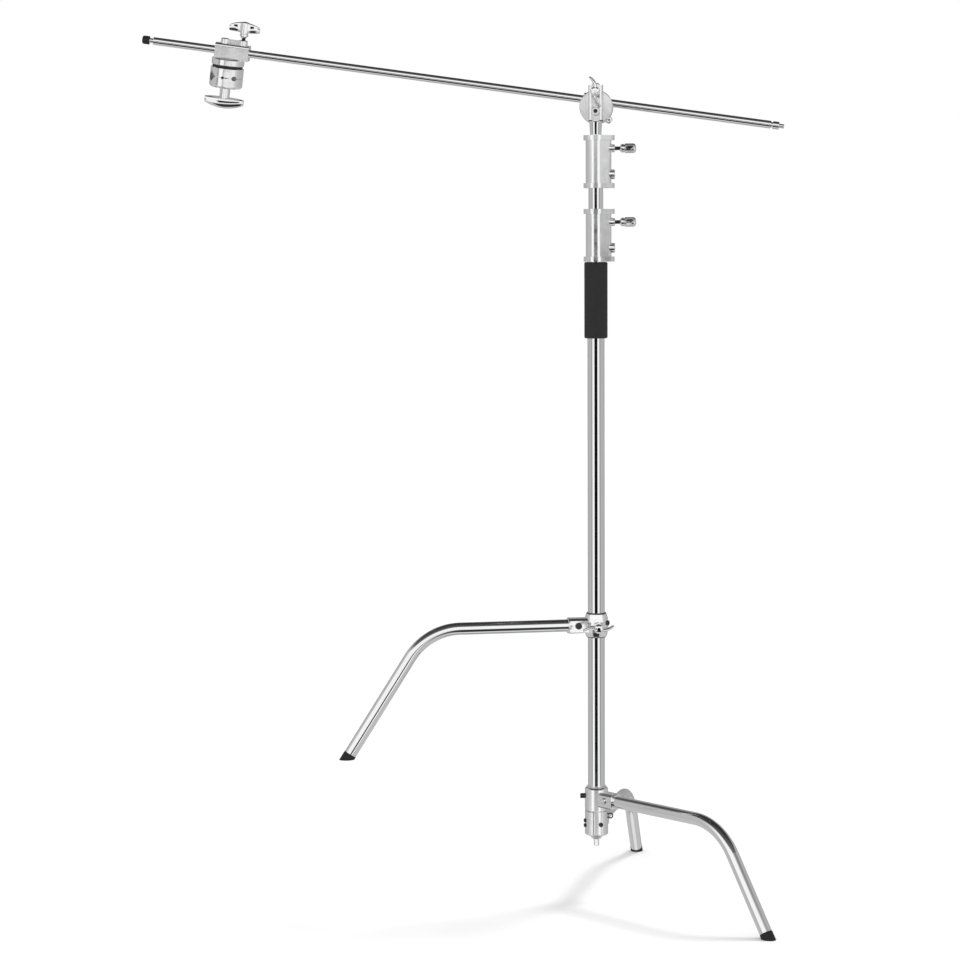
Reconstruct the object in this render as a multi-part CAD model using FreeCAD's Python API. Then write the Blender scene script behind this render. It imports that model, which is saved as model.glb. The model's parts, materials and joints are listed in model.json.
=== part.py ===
import FreeCAD, Part
import math
import os

# A C-stand: three tubes that telescope, three bent legs on their own collars, and a
# grip arm held by two grip heads.  Millimetres, +Z up.  The origin is on the column's
# axis, on the floor that the two lower feet stand on.  +Y is the back of the stand.

V = FreeCAD.Vector
UP = V(0, 0, 1)

# Fits
RUNNING = 0.05
CLEAR = 0.3
SEAT = 0.1

# Column and risers: outside radius, inside radius, lower end, upper end
COLUMN_R = 17.5
COLUMN_BORE = 16.0
COLUMN_Z = (136.0, 1360.0)
RISER_2_R = 15.0
RISER_2_BORE = 13.75
RISER_2_Z = (350.0, 1508.0)
RISER_3_R = 12.5
RISER_3_BORE = 10.5
RISER_3_Z = (420.0, 1556.0)
BUSH_LENGTH = 30.0
GRIP_R = 23.6
GRIP_Z = (1152.0, 1306.0)

# Riser collars
LOWER_COLLAR_Z = 1307.0
UPPER_COLLAR_Z = 1455.0
COLLAR_HEIGHT = 106.0
COLLAR_R = 20.4
FLANGE = 10.0
LOCK_SCREW_Z = 79.5
PLUG_SCREW_Z = 27.5
BOSS_END = 38.7
COLLAR_HANDLE_OUT = 4.5

# Spigot on top of the upper riser
SPIGOT_R = 8.0
SPIGOT_BASE_Z = 1560.0
SPIGOT_SHOULDER_Z = 1589.0
SPIGOT_TOP_Z = 1665.0

# Leg collars: centre heights and the height of each casting
BASE_Z = 156.0
MIDDLE_Z = 207.0
SLIDING_Z = 566.0
CASTING_HEIGHT = 50.5
CASTING_R = 24.0
LINER_R = 19.0

# Legs
LEG_R = 12.7
LEG_WALL = 1.6
LEG_REACH = 350.0
LEG_SLANT = math.radians(57.3)
BEND_R = 122.0
SLIDING_DROP = 260.0
BASE_AZIMUTH = 80.0
MIDDLE_AZIMUTH = -45.0
SLIDING_AZIMUTH = -166.0
SOCKET_END = 58.0
SOCKET_HALF = 15.0
FOOT_R = 13.2
SOLE = 13.5

# Grip heads, in a frame with its origin where the bore's axis meets the clamp's axis:
# x across the block, y along the clamp towards the jaws, z along the bore.
HEAD_Z = 1619.0
BLOCK_HALF = (14.6, 15.5)
BLOCK_Z = (-28.0, 42.0)
HANDLE_BOSS_Z = 27.0
OPEN_BOSS_Z = -10.5
BOSS_Y = -25.5
DISC_R = 33.5
DISC_Y = (15.0, 28.0)
PAD_Y = 33.0
JAW_R = 34.0
PARTING_Y = 52.0
JAW_END_Y = 74.5
STUD_R = 4.0
SHAFT_R = 10.5
SHAFT_END_Y = 94.5
GROOVE_OFFSET = 12.5
GROOVE_HALF = 11.9
ROUND_GROOVE_R = 4.75
ROUND_GROOVE_OFFSET = -20.0
ROUND_GROOVE_TURN = 33.8
NOTCH_HALF = 3.6
NOTCH_START = 22.0
NOTCH_TURN = 28.8

# Grip arm
ARM_R = 8.0
ARM_BORE = 6.0
ARM_SLOPE = math.radians(8.1)
ARM_LEFT = -940.0
ARM_TUBE = (-909.0, 346.0)
ARM_RIGHT = 382.0
LEFT_HEAD_S = -760.0
LEFT_HEAD_ROLL = 8.0

# Small winged handle, measured outwards from the face of its boss
HUB_R = 9.8
HUB_FROM = 5.5
HUB_TO = 38.0
WING_SPAN = 63.0
LARGE_SPAN = 80.0

parts = {}


def along(start, direction, distance):
    """The point at a distance from start in a direction."""
    return start + direction * distance


def lay(shape, origin, direction, turn=0.0):
    """Stand a shape built on +Z at an origin, along a direction, turned about it."""
    first = FreeCAD.Rotation(UP, turn)
    place = FreeCAD.Placement(origin, FreeCAD.Rotation(UP, direction).multiply(first))
    moved = shape.copy()
    moved.Placement = place.multiply(moved.Placement)
    return moved


def turned(points):
    """A solid of revolution about Z from its (radius, height) outline."""
    corners = [V(radius, 0, height) for radius, height in points]
    face = Part.Face(Part.makePolygon(corners + corners[:1]))
    return face.revolve(V(0, 0, 0), UP, 360)


def ring(outer, inner, low, high, edge=0.0):
    """A tube about Z with chamfered outer edges."""
    outline = [(inner, low), (outer - edge, low), (outer, low + edge)]
    outline += [(outer, high - edge), (outer - edge, high), (inner, high)]
    if not edge:
        outline = [(inner, low), (outer, low), (outer, high), (inner, high)]
    return turned(outline)


def rod(radius, low, high, edge=0.0):
    """A solid bar about Z with chamfered ends."""
    if not edge:
        return Part.makeCylinder(radius, high - low, V(0, 0, low))
    outline = [(0, low), (radius - edge, low), (radius, low + edge)]
    outline += [(radius, high - edge), (radius - edge, high), (0, high)]
    return turned(outline)


def box(low, high):
    """A box between two corners."""
    size = [high[i] - low[i] for i in range(3)]
    return Part.makeBox(size[0], size[1], size[2], V(*low))


def vertical_edges(shape):
    """The straight edges that run along Z."""
    found = []
    for edge in shape.Edges:
        ends = [vertex.Point for vertex in edge.Vertexes]
        if len(ends) == 2 and abs(abs(ends[0].z - ends[1].z) - edge.Length) < 1e-6:
            found.append(edge)
    return found


def lobe(big, small, offset, low, high):
    """A big circle and a small one along +X, joined by their tangents, extruded."""
    lean = math.acos((big - small) / offset)
    corners = []
    for radius, centre, side in ((big, 0, 1), (small, offset, 1), (small, offset, -1), (big, 0, -1)):
        corners.append(V(centre + radius * math.cos(lean), side * radius * math.sin(lean), low))
    web = Part.Face(Part.makePolygon(corners + corners[:1])).extrude(V(0, 0, high - low))
    ends = [Part.makeCylinder(big, high - low, V(0, 0, low))]
    ends.append(Part.makeCylinder(small, high - low, V(offset, 0, low)))
    return web.multiFuse(ends).removeSplitter()


def oval_section(x, middle_y, middle_z, half_y, half_z, squareness=2.8, count=16):
    """A closed, rounded section across X."""
    points = []
    for i in range(count):
        angle = 2 * math.pi * (i + 0.5) / count
        c = math.cos(angle)
        s = math.sin(angle)
        y = middle_y + half_y * math.copysign(abs(c) ** (2 / squareness), c)
        z = middle_z + half_z * math.copysign(abs(s) ** (2 / squareness), s)
        points.append(V(x, y, z))
    curve = Part.BSplineCurve()
    curve.interpolate(points, PeriodicFlag=True)
    return Part.Wire([curve.toShape()])


def small_wings():
    """The two blades of a small handle: slim, tall and bent like an S."""
    half = WING_SPAN / 2
    sections = []
    for i in range(13):
        share = -1 + i / 6
        reach = abs(share)
        sway = -5.0 * math.sin(math.pi * share)
        thick = 4.4 - 2.0 * reach ** 0.8
        low = HUB_FROM + 10.0 + 1.5 * reach
        high = HUB_TO - 1.0 - 7.5 * reach ** 2
        shrink = 0.75 if reach == 1 else 1.0
        tall = (high - low) / 2 * shrink
        sections.append(oval_section(share * half, sway, (low + high) / 2, thick * shrink, tall))
    return Part.makeLoft(sections, True, False)


def small_handle():
    """A winged handle: hub, neck and blades, with a blind bore for its screw."""
    top = HUB_TO
    hub = turned([(0, HUB_FROM), (5.2, HUB_FROM), (8.6, HUB_FROM + 3.2), (8.6, HUB_FROM + 7.4),
                  (7.8, HUB_FROM + 8), (7.8, HUB_FROM + 9), (HUB_R, HUB_FROM + 10.5),
                  (HUB_R, top - 5), (HUB_R - 1.2, top - 2.2), (HUB_R - 3.6, top - 0.6),
                  (HUB_R - 6.5, top), (0, top)])
    handle = hub.fuse(small_wings())
    return handle.cut(Part.makeCylinder(STUD_R, 14.0, V(0, 0, HUB_FROM))).removeSplitter()


def screw(reach):
    """A handle's screw: its tip is at -reach, its tail sits in the hub."""
    return turned([(0, -reach), (STUD_R - 1, -reach), (STUD_R, 1 - reach),
                   (STUD_R, HUB_FROM + 14.0), (0, HUB_FROM + 14.0)])


def large_handle():
    """A broad, domed T-handle on a round shaft, built outwards along Z from 0."""
    base = SHAFT_END_Y - JAW_END_Y
    half = LARGE_SPAN / 2
    sections = []
    for i in range(13):
        share = -1 + i / 6
        reach = abs(share)
        low = base - 1.0 + 2.0 * reach ** 2
        high = base + 22.5 - 9.0 * reach ** 2
        shrink = 0.9 if reach == 1 else 1.0
        wide = 12.5 - 6.5 * reach ** 2
        tall = (high - low) / 2 * shrink
        sections.append(oval_section(share * half, 0, (low + high) / 2, wide * shrink, tall, 3.4))
    bar = Part.makeLoft(sections, True, False)
    shaft = turned([(0, 0.2), (SHAFT_R - 1, 0.2), (SHAFT_R, 1.2), (SHAFT_R, base + 6), (0, base + 6)])
    handle = bar.fuse(shaft)
    return handle.cut(Part.makeCylinder(STUD_R, base, V(0, 0, 0))).removeSplitter()


def socket_screw(radius, height, socket):
    """A round screw head standing on z = 0 with a hexagon socket."""
    head = rod(radius, 0, height, 0.8)
    corners = [V(socket * math.cos(math.radians(60 * i)), socket * math.sin(math.radians(60 * i)),
                 height * 0.45) for i in range(6)]
    hexagon = Part.Face(Part.makePolygon(corners + corners[:1])).extrude(V(0, 0, height))
    return head.cut(hexagon)


# ---- column, risers and their collars ----

def riser_collar(name, low, tube_r, tube_top, riser_r):
    """A clamp collar: two flanges, a stepped body with a boss for each screw."""
    high = low + COLLAR_HEIGHT
    middle = low + 0.56 * COLLAR_HEIGHT
    body = lobe(24.8, 14.0, 24.0, low, low + FLANGE)
    body = body.fuse(lobe(24.8, 14.0, 24.0, high - FLANGE, high))
    body = body.fuse(lobe(COLLAR_R, 12.0, 19.5, low + FLANGE, middle))
    body = body.fuse(lobe(COLLAR_R, 9.0, 22.5, middle, high - FLANGE))
    for height, radius in ((LOCK_SCREW_Z, 8.2), (PLUG_SCREW_Z, 9.7)):
        boss = lay(rod(radius, 10, BOSS_END, 1.0), V(0, 0, low + height), V(1, 0, 0))
        body = body.fuse(boss)
    body = body.removeSplitter()
    body = body.cut(Part.makeCylinder(tube_r, tube_top - low, V(0, 0, low)))
    body = body.cut(Part.makeCylinder(riser_r + CLEAR, high - tube_top + 1, V(0, 0, tube_top)))
    lock_hole = lay(rod(STUD_R + RUNNING, 0, 60), V(0, 0, low + LOCK_SCREW_Z), V(1, 0, 0))
    body = body.cut(lock_hole)
    plug_hole = lay(rod(5.0, 25, 60), V(0, 0, low + PLUG_SCREW_Z), V(1, 0, 0))
    parts[name] = body.cut(plug_hole)
    plug = lay(socket_screw(5.0, 12.0, 2.9), V(25, 0, low + PLUG_SCREW_Z), V(1, 0, 0))
    parts[name + "_plug"] = plug
    shoe = lay(rod(STUD_R + RUNNING, 0, 2.4), V(riser_r + CLEAR, 0, low + LOCK_SCREW_Z), V(1, 0, 0))
    parts[name + "_shoe"] = shoe
    face = V(BOSS_END + COLLAR_HANDLE_OUT, 0, low + LOCK_SCREW_Z)
    tip = face.x - riser_r - CLEAR - 2.4 - SEAT
    parts[name + "_handle"] = lay(small_handle(), face, V(1, 0, 0), 96)
    parts[name + "_screw"] = lay(screw(tip), face, V(1, 0, 0))


def column():
    """The lower tube with its grip and the plug and stud in its lower end."""
    low, high = COLUMN_Z
    parts["column_tube"] = ring(COLUMN_R, COLUMN_BORE, low, high)
    grip_low, grip_high = GRIP_Z
    parts["column_grip"] = turned([
        (COLUMN_R, grip_low), (GRIP_R - 2.0, grip_low), (GRIP_R - 0.6, grip_low + 0.8),
        (GRIP_R, grip_low + 2.6), (GRIP_R, grip_high - 2.6), (GRIP_R - 0.6, grip_high - 0.8),
        (GRIP_R - 2.0, grip_high), (COLUMN_R, grip_high)])
    parts["column_end_plug"] = turned([
        (0, 122), (8.5, 122), (15.5, 130), (15.5, low), (COLUMN_BORE, low),
        (COLUMN_BORE, low + 12), (0, low + 12)])
    parts["column_end_stud"] = rod(5.5, 107.5, 122, 0.8)


def risers():
    """The two upper tubes, each with a guide bush at its lower end, and the spigot."""
    low, high = RISER_2_Z
    parts["riser_2_tube"] = ring(RISER_2_R, RISER_2_BORE, low, high)
    parts["riser_2_bush"] = ring(COLUMN_BORE - RUNNING, RISER_2_R, low, low + BUSH_LENGTH)
    low, high = RISER_3_Z
    parts["riser_3_tube"] = ring(RISER_3_R, RISER_3_BORE, low, high)
    parts["riser_3_bush"] = ring(RISER_2_BORE - RUNNING, RISER_3_R, low, low + BUSH_LENGTH)
    parts["top_spigot"] = turned([
        (0, high - 60), (RISER_3_BORE, high - 60), (RISER_3_BORE, high), (11.2, high),
        (11.2, SPIGOT_BASE_Z), (13.0, SPIGOT_SHOULDER_Z - 2), (12.2, SPIGOT_SHOULDER_Z),
        (SPIGOT_R, SPIGOT_SHOULDER_Z), (SPIGOT_R, SPIGOT_TOP_Z - 2),
        (SPIGOT_R - 2, SPIGOT_TOP_Z), (0, SPIGOT_TOP_Z)])


# ---- legs ----

def leg_path(azimuth, height, drop):
    """Points and directions of a leg's centre line, and where it meets the floor."""
    out = V(math.cos(math.radians(azimuth)), math.sin(math.radians(azimuth)), 0)
    down = out * math.cos(LEG_SLANT) - UP * math.sin(LEG_SLANT)
    corner = out * LEG_REACH + UP * height
    tangent = BEND_R * math.tan(LEG_SLANT / 2)
    foot = corner + down * (drop / math.sin(LEG_SLANT))
    return out, down, corner, tangent, foot


def leg(name, azimuth, height, drop):
    """A bent leg tube and the rubber sole plugged into it, cut flat on the floor."""
    out, down, corner, tangent, foot = leg_path(azimuth, height, drop)
    start = out * 27.0 + UP * height
    bend_in = corner - out * tangent
    bend_out = corner + down * tangent
    centre = bend_in - UP * BEND_R
    half = LEG_SLANT / 2
    crown = centre + (out * math.sin(half) + UP * math.cos(half)) * BEND_R
    end = foot - down * SOLE
    path = Part.Wire([Part.LineSegment(start, bend_in).toShape(),
                      Part.Arc(bend_in, crown, bend_out).toShape(),
                      Part.LineSegment(bend_out, end).toShape()])
    solids = []
    for radius in (LEG_R, LEG_R - LEG_WALL):
        profile = Part.Wire([Part.Circle(start, out, radius).toShape()])
        solids.append(path.makePipeShell([profile], True, True))
    parts[name] = solids[0].cut(solids[1])
    floor = height - drop
    cap = turned([(0, -28), (LEG_R - LEG_WALL, -28), (LEG_R - LEG_WALL, -SOLE),
                  (FOOT_R - 0.6, -SOLE), (FOOT_R, 0.6 - SOLE), (FOOT_R, 20), (0, 20)])
    cap = lay(cap, foot, down)
    below = box((foot.x - 60, foot.y - 60, floor - 60), (foot.x + 60, foot.y + 60, floor))
    parts[name + "_foot"] = cap.cut(below)


def leg_socket(azimuth, height):
    """The arm of a leg casting: a squared socket with bevelled top edges and a lip."""
    half = SOCKET_HALF
    bevel = 4.5
    outline = [(-half, -half + 2), (-half + 2, -half), (half - 2, -half), (half, -half + 2),
               (half, half - bevel), (half - bevel, half), (bevel - half, half), (-half, half - bevel)]
    corners = [V(0, y, z) for y, z in outline]
    bar = Part.Face(Part.makePolygon(corners + corners[:1])).extrude(V(SOCKET_END, 0, 0))
    lip = lay(turned([(0, 0), (15.4, 0), (16.6, 5), (16.6, 6.5), (15.6, 7.5), (0, 7.5)]),
              V(SOCKET_END - 5, 0, 0), V(1, 0, 0))
    arm = bar.fuse(lip)
    arm.rotate(V(0, 0, 0), UP, azimuth)
    arm.translate(V(0, 0, height))
    return arm


def leg_bores(azimuth, height):
    """What a casting loses to its leg tube."""
    out, down, corner, tangent, foot = leg_path(azimuth, height, 100)
    return lay(rod(LEG_R, 27, 100), UP * height, out)


def leg_screw(name, azimuth, height, side, reach):
    """The screw that holds a leg in its socket, in the side of the socket."""
    out = V(math.cos(math.radians(azimuth)), math.sin(math.radians(azimuth)), 0)
    across = UP.cross(out) * side
    seat = out * reach + across * SOCKET_HALF + UP * height
    parts[name] = lay(socket_screw(6.8, 3.2, 2.9), seat, across)


def casting(low, high, bore, rim):
    """A round leg casting with a rolled rim at its top."""
    return turned([(bore, low), (CASTING_R - 1.5, low), (CASTING_R, low + 1.5),
                   (CASTING_R, high - 6), (CASTING_R - 1.6, high - 3.5), (rim, high - 3.5),
                   (rim + 0.8, high - 2.4), (rim + 0.8, high - 0.8), (rim, high), (bore, high)])


def base_casting():
    """The fixed casting at the foot of the column, split at the front and screwed."""
    low = BASE_Z - CASTING_HEIGHT / 2
    high = BASE_Z + CASTING_HEIGHT / 2
    seat = COLUMN_Z[0]
    body = turned([(COLUMN_R, seat), (15.5, seat), (15.5, low), (CASTING_R - 2.5, low),
                   (CASTING_R - 1, low + 1.6), (CASTING_R, low + 2.4), (CASTING_R, high - 1.2),
                   (CASTING_R - 1.2, high), (COLUMN_R, high)])
    body = body.fuse(leg_socket(BASE_AZIMUTH, BASE_Z)).removeSplitter()
    body = body.cut(Part.makeCylinder(COLUMN_R, CASTING_HEIGHT, V(0, 0, seat)))
    body = body.cut(Part.makeCylinder(15.5, CASTING_HEIGHT, V(0, 0, low - 1)))
    body = body.cut(leg_bores(BASE_AZIMUTH, BASE_Z))
    parts["base_casting"] = body.cut(box((-6.9, -40, low - 1), (-5.4, -10, high + 1)))
    screws = []
    for azimuth, height, radius in ((198, 161, 4.0), (198, 151, 4.0), (-67, 155, 4.6)):
        out = V(math.cos(math.radians(azimuth)), math.sin(math.radians(azimuth)), 0)
        screws.append(lay(socket_screw(radius, 3.6, radius * 0.5), out * 23.2 + UP * height, out))
    parts["base_casting_screws"] = Part.makeCompound(screws)
    parts["base_casting"] = parts["base_casting"].cut(parts["base_casting_screws"])
    loop = Part.makeTorus(5.0, 1.3, V(28.4, 0, 170), V(0, 1, 0))
    parts["base_clip"] = loop.cut(Part.makeCylinder(CASTING_R, 60, V(0, 0, 140)))
    leg("base_leg", BASE_AZIMUTH, BASE_Z, BASE_Z)
    leg_screw("base_leg_screw", BASE_AZIMUTH, BASE_Z, 1, 40.0)


def middle_casting():
    """The middle leg's casting, which turns on the column above the base."""
    low = BASE_Z + CASTING_HEIGHT / 2 + CLEAR
    high = MIDDLE_Z + CASTING_HEIGHT / 2 + CLEAR
    bore = COLUMN_R + RUNNING
    body = casting(low, high, bore, 19.6)
    body = body.fuse(leg_socket(MIDDLE_AZIMUTH, MIDDLE_Z)).removeSplitter()
    body = body.cut(Part.makeCylinder(bore, 80, V(0, 0, low - 5)))
    body = body.cut(leg_bores(MIDDLE_AZIMUTH, MIDDLE_Z))
    bolt_out = V(-1, 0, 0)
    bolt = lay(socket_screw(5.2, 11.0, 2.9), bolt_out * 22.4 + UP * 211, bolt_out)
    parts["middle_leg_bolt"] = bolt
    parts["middle_leg_casting"] = body.cut(lay(rod(5.2, 0, 20), bolt_out * 22.4 + UP * 211, bolt_out))
    leg("middle_leg", MIDDLE_AZIMUTH, MIDDLE_Z, MIDDLE_Z)
    leg_screw("middle_leg_screw", MIDDLE_AZIMUTH, MIDDLE_Z, -1, 36.0)


def sliding_casting():
    """The upper leg's casting: it slides on a liner, turns on it, and locks."""
    half = CASTING_HEIGHT / 2 - 1.5
    outline = [(LINER_R + RUNNING, -half), (20.4, -half), (21.4, 1 - half)]
    for i in range(7):
        angle = math.radians(-48 + 16 * i)
        outline.append((17.0 + 7.8 * math.cos(angle), 27.0 * math.sin(angle)))
    outline += [(21.4, half - 1), (20.4, half), (LINER_R + RUNNING, half)]
    body = turned(outline)
    body.translate(UP * SLIDING_Z)
    handle_out = V(math.cos(math.radians(-84)), math.sin(math.radians(-84)), 0)
    middle = UP * SLIDING_Z
    body = body.fuse(leg_socket(SLIDING_AZIMUTH, SLIDING_Z))
    body = body.fuse(lay(rod(8.6, 15, 32.0, 1.0), middle, handle_out)).removeSplitter()
    body = body.cut(Part.makeCylinder(LINER_R + RUNNING, 90, V(0, 0, SLIDING_Z - 45)))
    body = body.cut(leg_bores(SLIDING_AZIMUTH, SLIDING_Z))
    body = body.cut(lay(rod(STUD_R + RUNNING, 5, 60), middle, handle_out))
    plug_out = V(math.cos(math.radians(-22)), math.sin(math.radians(-22)), 0)
    plug_at = plug_out * 22.0 + UP * (SLIDING_Z + 5)
    parts["sliding_leg_plug"] = lay(socket_screw(5.2, 6.0, 3.0), plug_at, plug_out)
    parts["sliding_leg_casting"] = body.cut(lay(rod(5.2, 0, 20), plug_at, plug_out))
    edge = half + CLEAR
    bore = COLUMN_R + RUNNING
    parts["sliding_leg_liner"] = turned([
        (bore, -edge - 1.2), (20.0, -edge - 1.2), (20.0, -edge), (LINER_R, -edge),
        (LINER_R, edge), (20.0, edge), (20.0, edge + 1.2), (bore, edge + 1.2)])
    parts["sliding_leg_liner"].translate(middle)
    leg("sliding_leg", SLIDING_AZIMUTH, SLIDING_Z, SLIDING_DROP)
    leg_screw("sliding_leg_screw", SLIDING_AZIMUTH, SLIDING_Z, 1, 40.0)
    face = along(middle, handle_out, 32.0)
    parts["sliding_leg_handle"] = lay(small_handle(), face, handle_out, 15)
    tip = 32.0 - LINER_R - CLEAR
    parts["sliding_leg_handle_screw"] = lay(screw(tip), face, handle_out)


# ---- grip heads ----

def head_block():
    """A head's casting: block, friction flange, two bosses and the rib between them."""
    half_x, half_y = BLOCK_HALF
    block = box((-half_x, -half_y, BLOCK_Z[0]), (half_x, half_y, BLOCK_Z[1]))
    front = [edge for edge in vertical_edges(block) if edge.CenterOfMass.y < 0]
    block = block.makeFillet(6.0, front)
    for height, radius in ((HANDLE_BOSS_Z, 9.2), (OPEN_BOSS_Z, 8.7)):
        boss = lay(rod(radius, 8, -BOSS_Y, 1.0), V(0, 0, height), V(0, -1, 0))
        block = block.fuse(boss)
    block = block.fuse(box((-4.5, BOSS_Y + 1.5, OPEN_BOSS_Z), (4.5, -10, HANDLE_BOSS_Z)))
    flange = lay(rod(DISC_R, DISC_Y[0], DISC_Y[1], 1.2), V(0, 0, 0), V(0, 1, 0))
    block = block.fuse(flange)
    block = block.removeSplitter()
    block = block.cut(Part.makeCylinder(ARM_R + RUNNING, 120, V(0, 0, -60)))
    block = block.cut(lay(rod(STUD_R + RUNNING, 10, 60), V(0, 0, 0), V(0, 1, 0)))
    for height in (HANDLE_BOSS_Z, OPEN_BOSS_Z):
        block = block.cut(lay(rod(STUD_R + RUNNING, 0, 60), V(0, 0, height), V(0, -1, 0)))
    return block


def groove(direction, offset, half, start=-100, round_bore=False):
    """A groove across the jaws at their parting face: a square on edge, or a round."""
    if round_bore:
        cutter = Part.makeCylinder(half, 200, V(offset, PARTING_Y, start))
    else:
        corners = [V(offset - half, PARTING_Y, start), V(offset, PARTING_Y - half, start),
                   V(offset + half, PARTING_Y, start), V(offset, PARTING_Y + half, start)]
        cutter = Part.Face(Part.makePolygon(corners + corners[:1])).extrude(V(0, 0, 200))
    cutter.rotate(V(0, 0, 0), V(0, 1, 0), direction)
    return cutter


def jaws(turn):
    """The inner and outer jaw, with their grooves turned about the clamp's axis."""
    inner = lay(rod(JAW_R, PAD_Y + SEAT, PARTING_Y - SEAT, 0.8), V(0, 0, 0), V(0, 1, 0))
    outer = turned([(0, PARTING_Y + SEAT), (JAW_R - 0.8, PARTING_Y + SEAT),
                    (JAW_R, PARTING_Y + SEAT + 0.8), (JAW_R, JAW_END_Y - 5),
                    (JAW_R - 1.2, JAW_END_Y - 2.4), (JAW_R - 4, JAW_END_Y - 0.6),
                    (JAW_R - 7, JAW_END_Y), (0, JAW_END_Y)])
    outer = lay(outer, V(0, 0, 0), V(0, 1, 0))
    cutters = [groove(turn, GROOVE_OFFSET, GROOVE_HALF),
               groove(turn - ROUND_GROOVE_TURN, ROUND_GROOVE_OFFSET, ROUND_GROOVE_R, -100, True),
               groove(turn - NOTCH_TURN, 0, NOTCH_HALF, NOTCH_START),
               lay(rod(STUD_R + RUNNING, 20, 80), V(0, 0, 0), V(0, 1, 0))]
    for cutter in cutters:
        inner = inner.cut(cutter)
        outer = outer.cut(cutter)
    return inner, outer


def grip_head(name, place, jaw_turn, wing_turn, bar_turn):
    """Every piece of one grip head, put in its place."""
    made = {}
    made["block"] = head_block()
    pad = ring(31.0, STUD_R + CLEAR, DISC_Y[1], PAD_Y, 0.6)
    made["friction_pad"] = lay(pad, V(0, 0, 0), V(0, 1, 0))
    made["inner_jaw"], made["outer_jaw"] = jaws(jaw_turn)
    made["clamp_handle"] = lay(large_handle(), V(0, JAW_END_Y, 0), V(0, 1, 0), bar_turn)
    base = SHAFT_END_Y
    made["clamp_stud"] = lay(rod(STUD_R, 10.6, base, 0.8), V(0, 0, 0), V(0, 1, 0))
    face = V(0, BOSS_Y, HANDLE_BOSS_Z)
    made["lock_handle"] = lay(small_handle(), face, V(0, -1, 0), wing_turn)
    tip = -BOSS_Y - ARM_R - CLEAR
    made["lock_screw"] = lay(screw(tip), face, V(0, -1, 0))
    for piece, shape in made.items():
        moved = shape.copy()
        moved.Placement = place.multiply(moved.Placement)
        parts[name + "_" + piece] = moved


def placement(origin, x_axis, y_axis, z_axis):
    """A frame from its origin and its three unit axes."""
    matrix = FreeCAD.Matrix(x_axis.x, y_axis.x, z_axis.x, origin.x,
                            x_axis.y, y_axis.y, z_axis.y, origin.y,
                            x_axis.z, y_axis.z, z_axis.z, origin.z, 0, 0, 0, 1)
    return FreeCAD.Placement(matrix)


ARM_ALONG = V(math.cos(ARM_SLOPE), 0, -math.sin(ARM_SLOPE))
ARM_ABOVE = V(math.sin(ARM_SLOPE), 0, math.cos(ARM_SLOPE))
ARM_MIDDLE = V(0, PARTING_Y, HEAD_Z) + ARM_ABOVE * GROOVE_OFFSET


def heads():
    """The head on the column and the head that hangs on the arm."""
    top = FreeCAD.Placement(V(0, 0, HEAD_Z), FreeCAD.Rotation())
    # The groove runs along the bore at a turn of 0; here it follows the arm instead.
    grip_head("top_head", top, -90 + math.degrees(ARM_SLOPE), 111, 45)
    roll = FreeCAD.Rotation(ARM_ALONG, LEFT_HEAD_ROLL)
    clamp = roll.multVec(ARM_ABOVE * -1)
    across = clamp.cross(ARM_ALONG)
    hung = placement(along(ARM_MIDDLE, ARM_ALONG, LEFT_HEAD_S), across, clamp, ARM_ALONG)
    grip_head("arm_head", hung, 123.8, 90, 90)


def arm():
    """The grip arm: a tube, a capped fitting at the left and a stud at the right."""
    left, right = ARM_TUBE
    made = {}
    made["arm_tube"] = ring(ARM_R, ARM_BORE, left, right)
    made["arm_left_fitting"] = turned([
        (0, ARM_LEFT + 3), (5, ARM_LEFT + 3), (5, left - 8), (ARM_R, left - 8), (ARM_R, left),
        (ARM_BORE, left), (ARM_BORE, left + 20), (0, left + 20)])
    made["arm_left_cap"] = turned([
        (0, ARM_LEFT), (6.5, ARM_LEFT), (8.1, ARM_LEFT + 1.6), (8.6, ARM_LEFT + 4),
        (8.6, ARM_LEFT + 14), (5, ARM_LEFT + 14), (5, ARM_LEFT + 3), (0, ARM_LEFT + 3)])
    made["arm_right_fitting"] = turned([
        (0, right - 20), (ARM_BORE, right - 20), (ARM_BORE, right), (ARM_R, right),
        (ARM_R, right + 9), (5.6, right + 9.6), (5.6, right + 12.4), (ARM_R, right + 13),
        (ARM_R, right + 25), (ARM_R - 1, right + 26), (4.4, right + 26),
        (4.4, ARM_RIGHT - 1), (3.6, ARM_RIGHT), (0, ARM_RIGHT)])
    for name, shape in made.items():
        parts[name] = lay(shape, ARM_MIDDLE, ARM_ALONG)


column()
risers()
riser_collar("lower_collar", LOWER_COLLAR_Z, COLUMN_R, COLUMN_Z[1], RISER_2_R)
riser_collar("upper_collar", UPPER_COLLAR_Z, RISER_2_R, RISER_2_Z[1], RISER_3_R)
base_casting()
middle_casting()
sliding_casting()
heads()
arm()

os.makedirs("parts", exist_ok=True)
for name, shape in parts.items():
    shape.exportStep("parts/" + name + ".step")
    print(name, shape.isValid(), len(shape.Solids), round(shape.Volume), shape.BoundBox)
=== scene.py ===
import json
import math

import bmesh
import bpy
from mathutils import Matrix, Vector


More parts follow.
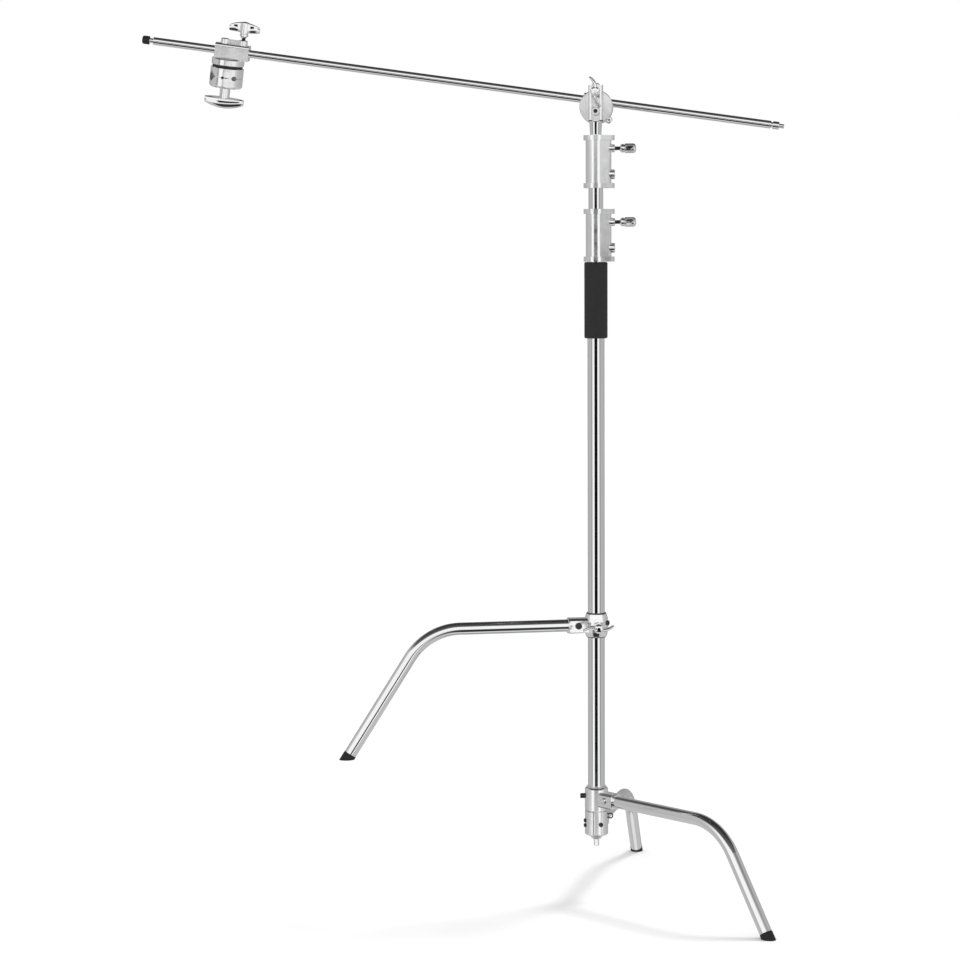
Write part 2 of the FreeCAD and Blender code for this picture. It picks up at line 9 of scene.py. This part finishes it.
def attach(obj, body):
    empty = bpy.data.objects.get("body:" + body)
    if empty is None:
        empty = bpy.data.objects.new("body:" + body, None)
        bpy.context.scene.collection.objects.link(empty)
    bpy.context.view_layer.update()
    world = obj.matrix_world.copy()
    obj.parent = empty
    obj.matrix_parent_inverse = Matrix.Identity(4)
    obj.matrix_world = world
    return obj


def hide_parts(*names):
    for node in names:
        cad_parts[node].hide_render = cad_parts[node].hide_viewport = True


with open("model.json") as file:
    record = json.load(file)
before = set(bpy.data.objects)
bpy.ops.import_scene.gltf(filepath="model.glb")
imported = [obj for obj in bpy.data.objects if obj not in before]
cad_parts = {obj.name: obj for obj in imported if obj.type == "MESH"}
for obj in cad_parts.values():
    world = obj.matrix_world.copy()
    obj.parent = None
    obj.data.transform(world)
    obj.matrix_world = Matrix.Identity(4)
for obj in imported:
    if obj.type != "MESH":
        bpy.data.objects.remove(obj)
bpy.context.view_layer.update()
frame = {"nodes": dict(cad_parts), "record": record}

scene = bpy.context.scene
nodes = frame["nodes"]
slots = {entry["node"]: entry["material_slot"] for entry in frame["record"]["subparts"]}
body_of_node = {}
for body, members in frame["record"]["behaviour"]["bodies"].items():
    for member in members:
        body_of_node[member] = body


# ---- node helpers ----

def new_material(name):
    """An empty node material with its Principled shader."""
    material = bpy.data.materials.new(name)
    material.use_nodes = True
    tree = material.node_tree
    shader = tree.nodes["Principled BSDF"]
    return material, tree, shader


def noise(tree, scale, detail, roughness):
    """A noise value from 0 to 1, on the object's own coordinates in metres."""
    position = tree.nodes.new("ShaderNodeTexCoord").outputs["Object"]
    texture = tree.nodes.new("ShaderNodeTexNoise")
    texture.inputs["Scale"].default_value = scale
    texture.inputs["Detail"].default_value = detail
    texture.inputs["Roughness"].default_value = roughness
    tree.links.new(position, texture.inputs["Vector"])
    return texture.outputs["Fac"]


def spread(tree, value, low, high, to_low, to_high):
    """A value moved from one range to another, held inside the second."""
    node = tree.nodes.new("ShaderNodeMapRange")
    tree.links.new(value, node.inputs["Value"])
    node.inputs["From Min"].default_value = low
    node.inputs["From Max"].default_value = high
    node.inputs["To Min"].default_value = to_low
    node.inputs["To Max"].default_value = to_high
    return node.outputs["Result"]


def blend_colours(tree, value, first, second):
    """A colour between two, by a value from 0 to 1."""
    ramp = tree.nodes.new("ShaderNodeValToRGB")
    ramp.color_ramp.elements[0].color = (*first, 1)
    ramp.color_ramp.elements[1].color = (*second, 1)
    tree.links.new(value, ramp.inputs["Fac"])
    return ramp.outputs["Color"]


def mix_colours(tree, value, first, second, blend="MIX"):
    """Two colours mixed by a value. Each is a colour, or a socket that gives one."""
    node = tree.nodes.new("ShaderNodeMix")
    node.data_type = "RGBA"
    node.blend_type = blend
    for socket_name, given in (("Factor", value), ("A", first), ("B", second)):
        socket = node.inputs[socket_name]
        if isinstance(given, bpy.types.NodeSocket):
            tree.links.new(given, socket)
        else:
            socket.default_value = given
    return node.outputs["Result"]


def bump(tree, shader, value, strength, distance):
    """A bump from a value, on the shader."""
    node = tree.nodes.new("ShaderNodeBump")
    node.inputs["Strength"].default_value = strength
    node.inputs["Distance"].default_value = distance
    tree.links.new(value, node.inputs["Height"])
    tree.links.new(node.outputs["Normal"], shader.inputs["Normal"])


# ---- materials ----

# Painted shade: the cast chrome's colour is darkened towards near black where ambient occlusion
# finds holes, slits and inner corners.
PAINTED_SHADE_REACH = 0.014
PAINTED_SHADE_SAMPLES = 8
PAINTED_SHADE_OPENNESS = (0.18, 0.52)
PAINTED_SHADE_COLOUR = (0.012, 0.012, 0.013, 1)
RELIEF_STRENGTH = 0.05


def paint_recess_shade(tree, colour):
    """A colour that darkens towards black in holes, slits and inner corners: painted shade, from
    ambient occlusion.
    """
    openness = tree.nodes.new("ShaderNodeAmbientOcclusion")
    openness.samples = PAINTED_SHADE_SAMPLES
    openness.inputs["Distance"].default_value = PAINTED_SHADE_REACH
    unshaded = spread(tree, openness.outputs["AO"], *PAINTED_SHADE_OPENNESS, 0, 1)
    return mix_colours(tree, unshaded, PAINTED_SHADE_COLOUR, colour)


def chrome(name, light, dark, smooth, worn, grain_scale, grain_depth, recess_shade=False):
    """Chrome plate: bright metal, with faint smears and a little relief from the metal below."""
    material, tree, shader = new_material(name)
    shader.inputs["Metallic"].default_value = 1.0
    smears = noise(tree, 9.0, 5.0, 0.6)
    colour = blend_colours(tree, smears, dark, light)
    # Painted shade, when asked for: the colour darkens in holes, slits and inner corners.
    if recess_shade:
        colour = paint_recess_shade(tree, colour)
    tree.links.new(colour, shader.inputs["Base Color"])
    polish = noise(tree, 42.0, 6.0, 0.62)
    tree.links.new(spread(tree, polish, 0.35, 0.75, smooth, worn), shader.inputs["Roughness"])
    relief = noise(tree, grain_scale, 3.0, 0.5)
    bump(tree, shader, relief, RELIEF_STRENGTH, grain_depth)
    return material


def rubber(name, dark, light, rough):
    """Matte black rubber with a fine grain and dusty patches."""
    material, tree, shader = new_material(name)
    dust = noise(tree, 60.0, 6.0, 0.7)
    tree.links.new(blend_colours(tree, dust, dark, light), shader.inputs["Base Color"])
    roughness = spread(tree, dust, 0.3, 0.7, rough - 0.1, rough + 0.08)
    tree.links.new(roughness, shader.inputs["Roughness"])
    shader.inputs["Specular IOR Level"].default_value = 0.35
    bump(tree, shader, noise(tree, 900.0, 3.0, 0.6), 0.35, 0.0004)
    return material


def dark_steel(name):
    """Dark plated screw steel with fine turning marks."""
    material, tree, shader = new_material(name)
    shader.inputs["Metallic"].default_value = 1.0
    patches = noise(tree, 120.0, 4.0, 0.6)
    tree.links.new(blend_colours(tree, patches, (0.03, 0.03, 0.032), (0.13, 0.13, 0.135)),
                   shader.inputs["Base Color"])
    tree.links.new(spread(tree, patches, 0.3, 0.7, 0.22, 0.42), shader.inputs["Roughness"])
    bump(tree, shader, noise(tree, 1500.0, 2.0, 0.5), 0.2, 0.0002)
    return material


def fibre(name):
    """Pressed fibre of a friction disc."""
    material, tree, shader = new_material(name)
    strands = noise(tree, 700.0, 6.0, 0.75)
    tree.links.new(blend_colours(tree, strands, (0.010, 0.010, 0.010), (0.045, 0.043, 0.040)),
                   shader.inputs["Base Color"])
    shader.inputs["Roughness"].default_value = 0.8
    bump(tree, shader, strands, 0.5, 0.0004)
    return material


def brass(name):
    """Machined brass."""
    material, tree, shader = new_material(name)
    shader.inputs["Metallic"].default_value = 1.0
    tone = noise(tree, 150.0, 3.0, 0.5)
    tree.links.new(blend_colours(tree, tone, (0.62, 0.44, 0.18), (0.85, 0.66, 0.32)),
                   shader.inputs["Base Color"])
    tree.links.new(spread(tree, tone, 0.3, 0.7, 0.2, 0.35), shader.inputs["Roughness"])
    return material


MATERIALS = {
    "tube_chrome": chrome("tube_chrome", light=(0.93, 0.93, 0.94), dark=(0.87, 0.87, 0.88),
                          smooth=0.03, worn=0.07, grain_scale=500, grain_depth=0.00002),
    # cast_chrome carries painted shade in its holes, slits and inner corners.
    "cast_chrome": chrome("cast_chrome", light=(0.98, 0.98, 0.985), dark=(0.92, 0.92, 0.925),
                          smooth=0.10, worn=0.22, grain_scale=260, grain_depth=0.00010,
                          recess_shade=True),
    "handle_chrome": chrome("handle_chrome", light=(0.93, 0.93, 0.94), dark=(0.86, 0.86, 0.87),
                            smooth=0.05, worn=0.12, grain_scale=220, grain_depth=0.00010),
    "screw_steel": dark_steel("screw_steel"),
    "rubber": rubber("rubber", (0.006, 0.006, 0.006), (0.022, 0.022, 0.022), 0.62),
    "grip_foam": rubber("grip_foam", (0.010, 0.010, 0.010), (0.030, 0.030, 0.031), 0.7),
    "guide_plastic": rubber("guide_plastic", (0.03, 0.03, 0.032), (0.06, 0.06, 0.062), 0.5),
    "friction_fibre": fibre("friction_fibre"),
    "brass": brass("brass"),
}


for node, target in nodes.items():
    target.data.materials.clear()
    target.data.materials.append(MATERIALS[slots[node]])

# ---- screws with real threads, and the set screws in the heads ----

THREAD_PITCH = 0.0015
THREAD_DEPTH = 0.0006
ROWS_PER_TURN = 8
SIDES = 28
LEAD_IN = 1.2 * THREAD_PITCH
RIDGE_SLOPE = 2.4
SHARP_ANGLE = math.radians(35)
joints = {joint["name"]: joint for joint in frame["record"]["behaviour"]["joints"]}


def add_piece(name, mesh_data, body, slot, node=None):
    """Put a finished bmesh in the scene as a piece of a body."""
    mesh = bpy.data.meshes.new(name)
    bmesh.ops.recalc_face_normals(mesh_data, faces=mesh_data.faces)
    mesh_data.to_mesh(mesh)
    mesh_data.free()
    mesh.polygons.foreach_set("use_smooth", [True] * len(mesh.polygons))
    mesh.set_sharp_from_angle(angle=SHARP_ANGLE)
    mesh.materials.append(MATERIALS[slot])
    piece = bpy.data.objects.new(name, mesh)
    scene.collection.objects.link(piece)
    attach(piece, body)
    if node:
        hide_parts(node)
    return piece


def sides_of(axis):
    """Two directions square to an axis and to each other."""
    helper = Vector((0, 0, 1)) if abs(axis.z) < 0.9 else Vector((1, 0, 0))
    first = axis.cross(helper).normalized()
    return first, axis.cross(first)


def lathe(origin, axis, outline, offset):
    """A closed solid of revolution from (radius, distance) points along an axis.

    offset(angle, distance) is added to each point's radius.
    """
    first, second = sides_of(axis)
    data = bmesh.new()
    rows = []
    for radius, distance in outline:
        row = []
        for i in range(SIDES):
            angle = 2 * math.pi * i / SIDES
            reach = radius + offset(angle, distance)
            out = first * math.cos(angle) + second * math.sin(angle)
            row.append(data.verts.new(origin + axis * distance + out * reach))
        rows.append(row)
    for low, high in zip(rows, rows[1:]):
        for i in range(SIDES):
            j = (i + 1) % SIDES
            data.faces.new((low[i], low[j], high[j], high[i]))
    data.faces.new(rows[0])
    data.faces.new(rows[-1])
    return data


def threaded_screw(node, joint_name):
    """The screw of a lock handle, with a helical thread where the CAD has a cylinder."""
    joint = joints[joint_name]
    axis = Vector(joint["axis"]).normalized()
    origin = Vector(joint["pos_m"])
    solid = nodes[node]
    points = [solid.matrix_world @ vertex.co - origin for vertex in solid.data.vertices]
    start = min(point.dot(axis) for point in points)
    end = max(point.dot(axis) for point in points)
    radius = max((point - axis * point.dot(axis)).length for point in points)

    def ridge(angle, distance):
        turn = (distance / THREAD_PITCH - angle / (2 * math.pi)) % 1.0
        fade = min(1.0, (distance - start) / LEAD_IN, (end - distance) / LEAD_IN)
        return -THREAD_DEPTH * (1 - max(fade, 0.0) * min(1.0, RIDGE_SLOPE * min(turn, 1 - turn)))

    steps = int((end - start) / THREAD_PITCH * ROWS_PER_TURN)
    outline = [(radius, start + (end - start) * i / steps) for i in range(steps + 1)]
    add_piece(node + "_thread", lathe(origin, axis, outline, ridge),
              body_of_node[node], "screw_steel", node)


SCREWS = {
    "lower_collar_screw": "lower_collar_lock_turn",
    "upper_collar_screw": "upper_collar_lock_turn",
    "sliding_leg_handle_screw": "sliding_leg_lock_turn",
    "top_head_lock_screw": "top_head_lock_turn",
    "arm_head_lock_screw": "arm_head_lock_turn",
}
for screw_node, turn_joint in SCREWS.items():
    threaded_screw(screw_node, turn_joint)

# The heads' second boss holds a hexagon-socket set screw, sunk below its face.
BOSS_SPACING = 0.0375
SET_SCREW_R = 0.0039
SET_SCREW_SINK = 0.0035
SET_SCREW_LENGTH = 0.009
SET_SCREW_SIDES = 24
SET_SCREW_CHAMFER = 0.0006
SOCKET_R = 0.0023
SOCKET_DEPTH = 0.004
SOCKET_SIDES = 6
SIDES_A_CORNER = SET_SCREW_SIDES // SOCKET_SIDES


def set_screw(head):
    """A black set screw with a hexagon socket in a head's open boss."""
    joint = joints[head + "_lock_turn"]
    inwards = -Vector(joint["axis"]).normalized()
    spin = Vector(joints[head + "_swivel"]["axis"]).normalized()
    face = Vector(joint["pos_m"]) - spin * BOSS_SPACING
    first, second = sides_of(inwards)
    data = bmesh.new()

    def circle(radius, depth, count):
        ring = []
        for i in range(count):
            angle = 2 * math.pi * i / count
            out = first * math.cos(angle) + second * math.sin(angle)
            ring.append(data.verts.new(face + inwards * depth + out * radius))
        return ring

    top = SET_SCREW_SINK
    rings = [circle(SET_SCREW_R, top + SET_SCREW_LENGTH, SET_SCREW_SIDES),
             circle(SET_SCREW_R, top + SET_SCREW_CHAMFER, SET_SCREW_SIDES),
             circle(SET_SCREW_R - SET_SCREW_CHAMFER, top, SET_SCREW_SIDES)]
    for low, high in zip(rings, rings[1:]):
        for i in range(SET_SCREW_SIDES):
            j = (i + 1) % SET_SCREW_SIDES
            data.faces.new((low[i], low[j], high[j], high[i]))
    data.faces.new(rings[0])
    mouth = circle(SOCKET_R, top, SOCKET_SIDES)
    bottom = circle(SOCKET_R, top + SOCKET_DEPTH, SOCKET_SIDES)
    for i in range(SOCKET_SIDES):
        j = (i + 1) % SOCKET_SIDES
        data.faces.new((mouth[i], mouth[j], bottom[j], bottom[i]))
        corner = SIDES_A_CORNER * i
        share = [rings[2][(corner + k) % SET_SCREW_SIDES] for k in range(SIDES_A_CORNER + 1)]
        data.faces.new(share + [mouth[j], mouth[i]])
    data.faces.new(bottom)
    add_piece(head + "_set_screw", data, head, "screw_steel")


for head_name in ("top_head", "arm_head"):
    set_screw(head_name)

# ---- floor, light and camera ----

FLOOR_SIZE = 60.0
FLOOR_TONES = ((0.93, 0.93, 0.93), (0.95, 0.95, 0.95))
CAMERA_PLACE = Vector((0.143, -5.8, 1.375))
CAMERA_YAW = math.radians(3.75)
CAMERA_PITCH = math.radians(-5.035)
CAMERA_ROLL = math.radians(-0.27)
CAMERA_LENS = 107.1
SENSOR_WIDTH = 36
CLIP_END = 200
KEY_DIRECTION = Vector((-0.40, -0.45, -1.0))
KEY_SPREAD = math.radians(14)
KEY_STRENGTH = 1.0

# What chrome mirrors: brightness against an angle in degrees. Angles round the stand start at
# the side that the camera is on, and angles up start at the horizon. FLOOR_SHARE is how much of
# ROUND_THE_FLOOR shows at each height.
ROUND_THE_STRIP = [
    (-180, 0.24), (-168, 0.42), (-66, 0.50), (-57, 0.26), (-52, 0.26), (-47, 1.0),
    (-22, 1.0), (-19, 0.006), (19, 0.006), (22, 1.0), (45, 1.0), (50, 0.26),
    (56, 0.26), (66, 0.50), (168, 0.42), (180, 0.24)]
ROUND_THE_REST = [
    (-180, 0.35), (-120, 0.45), (-80, 0.55), (-60, 1.0), (60, 1.0), (80, 0.55),
    (120, 0.45), (180, 0.35)]
ROUND_THE_FLOOR = [
    (-180, 0.55), (-44, 0.55), (-30, 0.03), (30, 0.03), (44, 0.55), (180, 0.55)]
UP_THE_SKY = [(-90, 0.8), (-62, 0.8), (-20, 1.0), (34, 1.0), (44, 0.14), (70, 0.06), (90, 0.06)]
FLOOR_SHARE = [(-90, 0.0), (-66, 0.0), (-58, 1.0), (-22, 1.0), (-17, 0.0), (90, 0.0)]
STRIP_TOP = (math.radians(1.2), math.radians(2.1))
STRIP_BOTTOM = (math.radians(-11.9), math.radians(-11.4))
ALL_ROUND = (-math.pi, math.pi)
ALL_HEIGHTS = (-math.pi / 2, math.pi / 2)
FILL_LIGHT = (0.88, 0.88, 0.88, 1)
BACKDROP = (1, 1, 1, 1)


def make_floor():
    """A wide, plain, pale floor that chrome doesn't mirror."""
    bpy.ops.mesh.primitive_plane_add(size=FLOOR_SIZE, location=(0, 0, 0))
    floor = bpy.context.active_object
    floor.name = "studio_floor"
    material, tree, shader = new_material("studio_floor")
    tone = noise(tree, 0.8, 2.0, 0.5)
    tree.links.new(blend_colours(tree, tone, *FLOOR_TONES), shader.inputs["Base Color"])
    shader.inputs["Roughness"].default_value = 0.9
    shader.inputs["Specular IOR Level"].default_value = 0.1
    floor.data.materials.append(material)
    floor.visible_glossy = False


def make_world():
    """White studio: what chrome mirrors has dark and light bands round the camera's side."""
    world = bpy.data.worlds.new("studio")
    scene.world = world
    world.use_nodes = True
    tree = world.node_tree
    tree.nodes.clear()
    out = tree.nodes.new("ShaderNodeOutputWorld")
    background = tree.nodes.new("ShaderNodeBackground")
    tree.links.new(background.outputs[0], out.inputs[0])
    direction = tree.nodes.new("ShaderNodeTexCoord").outputs["Generated"]
    split = tree.nodes.new("ShaderNodeSeparateXYZ")
    tree.links.new(direction, split.inputs[0])

    def math_node(kind, first, second=0.0):
        node = tree.nodes.new("ShaderNodeMath")
        node.operation = kind
        for socket, value in zip(node.inputs, (first, second)):
            if isinstance(value, (int, float)):
                socket.default_value = value
            else:
                tree.links.new(value, socket)
        return node.outputs[0]

    def bands(value, low, high, stops):
        """Brightness along an angle in degrees, from (angle, level) stops."""
        ramp = tree.nodes.new("ShaderNodeValToRGB")
        ramp.color_ramp.interpolation = "LINEAR"
        scale = high - low
        elements = ramp.color_ramp.elements
        while len(elements) < len(stops):
            elements.new(0.5)
        for element, (angle, level) in zip(elements, stops):
            element.position = (math.radians(angle) - low) / scale
            element.color = (level, level, level, 1)
        tree.links.new(spread(tree, value, low, high, 0, 1), ramp.inputs["Fac"])
        return ramp.outputs["Color"]

    back = math_node("MULTIPLY", split.outputs["Y"], -1.0)
    turn = math_node("ARCTAN2", split.outputs["X"], back)
    rise = math_node("ARCSINE", split.outputs["Z"])
    above_strip = spread(tree, rise, *STRIP_TOP, 0, 1)
    below_strip = spread(tree, rise, *STRIP_BOTTOM, 1, 0)
    off_strip = math_node("MAXIMUM", above_strip, below_strip)
    around = mix_colours(tree, off_strip, bands(turn, *ALL_ROUND, ROUND_THE_STRIP),
                         bands(turn, *ALL_ROUND, ROUND_THE_REST))
    sky = mix_colours(tree, 1.0, around, bands(rise, *ALL_HEIGHTS, UP_THE_SKY), "MULTIPLY")
    mirrored = mix_colours(tree, bands(rise, *ALL_HEIGHTS, FLOOR_SHARE), sky,
                           bands(turn, *ALL_ROUND, ROUND_THE_FLOOR))
    path = tree.nodes.new("ShaderNodeLightPath")
    plain = mix_colours(tree, path.outputs["Is Camera Ray"], FILL_LIGHT, BACKDROP)
    seen = mix_colours(tree, path.outputs["Is Glossy Ray"], plain, mirrored)
    tree.links.new(seen, background.inputs["Color"])
    background.inputs["Strength"].default_value = 1.0


def make_key_light():
    """A broad, even light from behind, right and above, for soft shadows on the floor."""
    sun = bpy.data.lights.new("key_light", "SUN")
    sun.energy = KEY_STRENGTH
    sun.angle = KEY_SPREAD
    light = bpy.data.objects.new("key_light", sun)
    scene.collection.objects.link(light)
    light.rotation_euler = KEY_DIRECTION.to_track_quat("-Z", "Y").to_euler()
    light.visible_glossy = False


def make_camera():
    """The photograph's point of view: long, level and a little above the collars."""
    camera = bpy.data.cameras.new("camera")
    camera.lens = CAMERA_LENS
    camera.sensor_width = SENSOR_WIDTH
    camera.clip_end = CLIP_END
    stand_point = bpy.data.objects.new("camera", camera)
    scene.collection.objects.link(stand_point)
    level = Matrix.Rotation(math.pi / 2 + CAMERA_PITCH, 4, "X")
    roll = Matrix.Rotation(CAMERA_ROLL, 4, "Z")
    turn = Matrix.Rotation(CAMERA_YAW, 4, "Z")
    stand_point.matrix_world = Matrix.Translation(CAMERA_PLACE) @ turn @ level @ roll
    scene.camera = stand_point


make_floor()
make_world()
make_key_light()
make_camera()
scene.view_settings.view_transform = "Standard"
scene.view_settings.look = "None"
